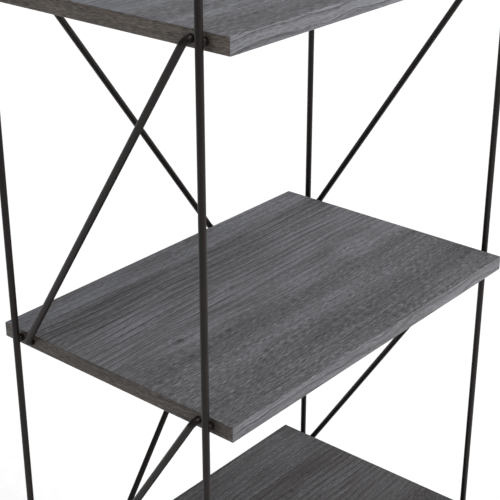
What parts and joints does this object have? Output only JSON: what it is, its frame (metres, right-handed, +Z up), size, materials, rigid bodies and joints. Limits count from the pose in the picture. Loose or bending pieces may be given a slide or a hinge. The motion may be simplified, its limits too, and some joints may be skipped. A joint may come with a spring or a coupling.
{
  "type": "bookcase",
  "caption": "Open shelf unit: charcoal wood-grain boards between slim round steel uprights, with bent rod braces at both ends and across the back, on screw-in levelling feet.",
  "frame": {"origin": "On the floor, under the middle of the overall box, with the rear braces and the levelling pads included.", "axes": "+Z up, front towards -Y, left end towards -X"},
  "size_m": [0.567, 0.3625, 1.75],
  "materials": {
    "board_laminate": "charcoal wood-grain melamine laminate on particle board, embossed, satin",
    "rod_steel": "brown-black powder coat on solid round steel bar, satin",
    "cam_zinc": "die-cast zinc, as cast",
    "screw_zinc": "zinc-plated steel",
    "pad_plastic": "black moulded nylon"
  },
  "bodies": {
    "frame": {"upright_front_left": "rod_steel", "upright_rear_left": "rod_steel", "upright_front_right": "rod_steel", "upright_rear_right": "rod_steel", "shelf_1": "board_laminate", "cam_lock_1_front_left": "cam_zinc", "cam_lock_1_rear_left": "cam_zinc", "cam_lock_1_front_right": "cam_zinc", "cam_lock_1_rear_right": "cam_zinc", "shelf_2": "board_laminate", "cam_lock_2_front_left": "cam_zinc", "cam_lock_2_rear_left": "cam_zinc", "cam_lock_2_front_right": "cam_zinc", "cam_lock_2_rear_right": "cam_zinc", "shelf_3": "board_laminate", "cam_lock_3_front_left": "cam_zinc", "cam_lock_3_rear_left": "cam_zinc", "cam_lock_3_front_right": "cam_zinc", "cam_lock_3_rear_right": "cam_zinc", "shelf_4": "board_laminate", "cam_lock_4_front_left": "cam_zinc", "cam_lock_4_rear_left": "cam_zinc", "cam_lock_4_front_right": "cam_zinc", "cam_lock_4_rear_right": "cam_zinc", "shelf_5": "board_laminate", "cam_lock_5_front_left": "cam_zinc", "cam_lock_5_rear_left": "cam_zinc", "cam_lock_5_front_right": "cam_zinc", "cam_lock_5_rear_right": "cam_zinc", "side_brace_left_1": "rod_steel", "side_brace_right_1": "rod_steel", "rear_brace_1": "rod_steel", "side_brace_left_2": "rod_steel", "side_brace_right_2": "rod_steel", "rear_brace_2": "rod_steel", "side_brace_left_3": "rod_steel", "side_brace_right_3": "rod_steel", "rear_brace_3": "rod_steel", "side_brace_left_4": "rod_steel", "side_brace_right_4": "rod_steel", "rear_brace_4": "rod_steel"},
    "pad_front_left": {"leveller_pad_front_left": "pad_plastic"},
    "screw_front_left": {"leveller_screw_front_left": "screw_zinc"},
    "pad_rear_left": {"leveller_pad_rear_left": "pad_plastic"},
    "screw_rear_left": {"leveller_screw_rear_left": "screw_zinc"},
    "pad_front_right": {"leveller_pad_front_right": "pad_plastic"},
    "screw_front_right": {"leveller_screw_front_right": "screw_zinc"},
    "pad_rear_right": {"leveller_pad_rear_right": "pad_plastic"},
    "screw_rear_right": {"leveller_screw_rear_right": "screw_zinc"}
  },
  "joints": [
    {"name": "level_front_left", "type": "slide", "parent": "frame", "child": "pad_front_left", "axis": [0, 0, -1], "range_m": [0, 0.006]},
    {"name": "screw_front_left", "type": "hinge", "parent": "pad_front_left", "child": "screw_front_left", "pos_m": [-0.2735, -0.15225, 0.0088], "axis": [0, 0, -1], "range_deg": [0, 2700]},
    {"name": "level_rear_left", "type": "slide", "parent": "frame", "child": "pad_rear_left", "axis": [0, 0, -1], "range_m": [0, 0.006]},
    {"name": "screw_rear_left", "type": "hinge", "parent": "pad_rear_left", "child": "screw_rear_left", "pos_m": [-0.2735, 0.13975, 0.0088], "axis": [0, 0, -1], "range_deg": [0, 2700]},
    {"name": "level_front_right", "type": "slide", "parent": "frame", "child": "pad_front_right", "axis": [0, 0, -1], "range_m": [0, 0.006]},
    {"name": "screw_front_right", "type": "hinge", "parent": "pad_front_right", "child": "screw_front_right", "pos_m": [0.2735, -0.15225, 0.0088], "axis": [0, 0, -1], "range_deg": [0, 2700]},
    {"name": "level_rear_right", "type": "slide", "parent": "frame", "child": "pad_rear_right", "axis": [0, 0, -1], "range_m": [0, 0.006]},
    {"name": "screw_rear_right", "type": "hinge", "parent": "pad_rear_right", "child": "screw_rear_right", "pos_m": [0.2735, 0.13975, 0.0088], "axis": [0, 0, -1], "range_deg": [0, 2700]}
  ],
  "couplings": [
    {"joint": "screw_front_left", "follows": "level_front_left", "rad_per_m": 7854},
    {"joint": "screw_rear_left", "follows": "level_rear_left", "rad_per_m": 7854},
    {"joint": "screw_front_right", "follows": "level_front_right", "rad_per_m": 7854},
    {"joint": "screw_rear_right", "follows": "level_rear_right", "rad_per_m": 7854}
  ]
}
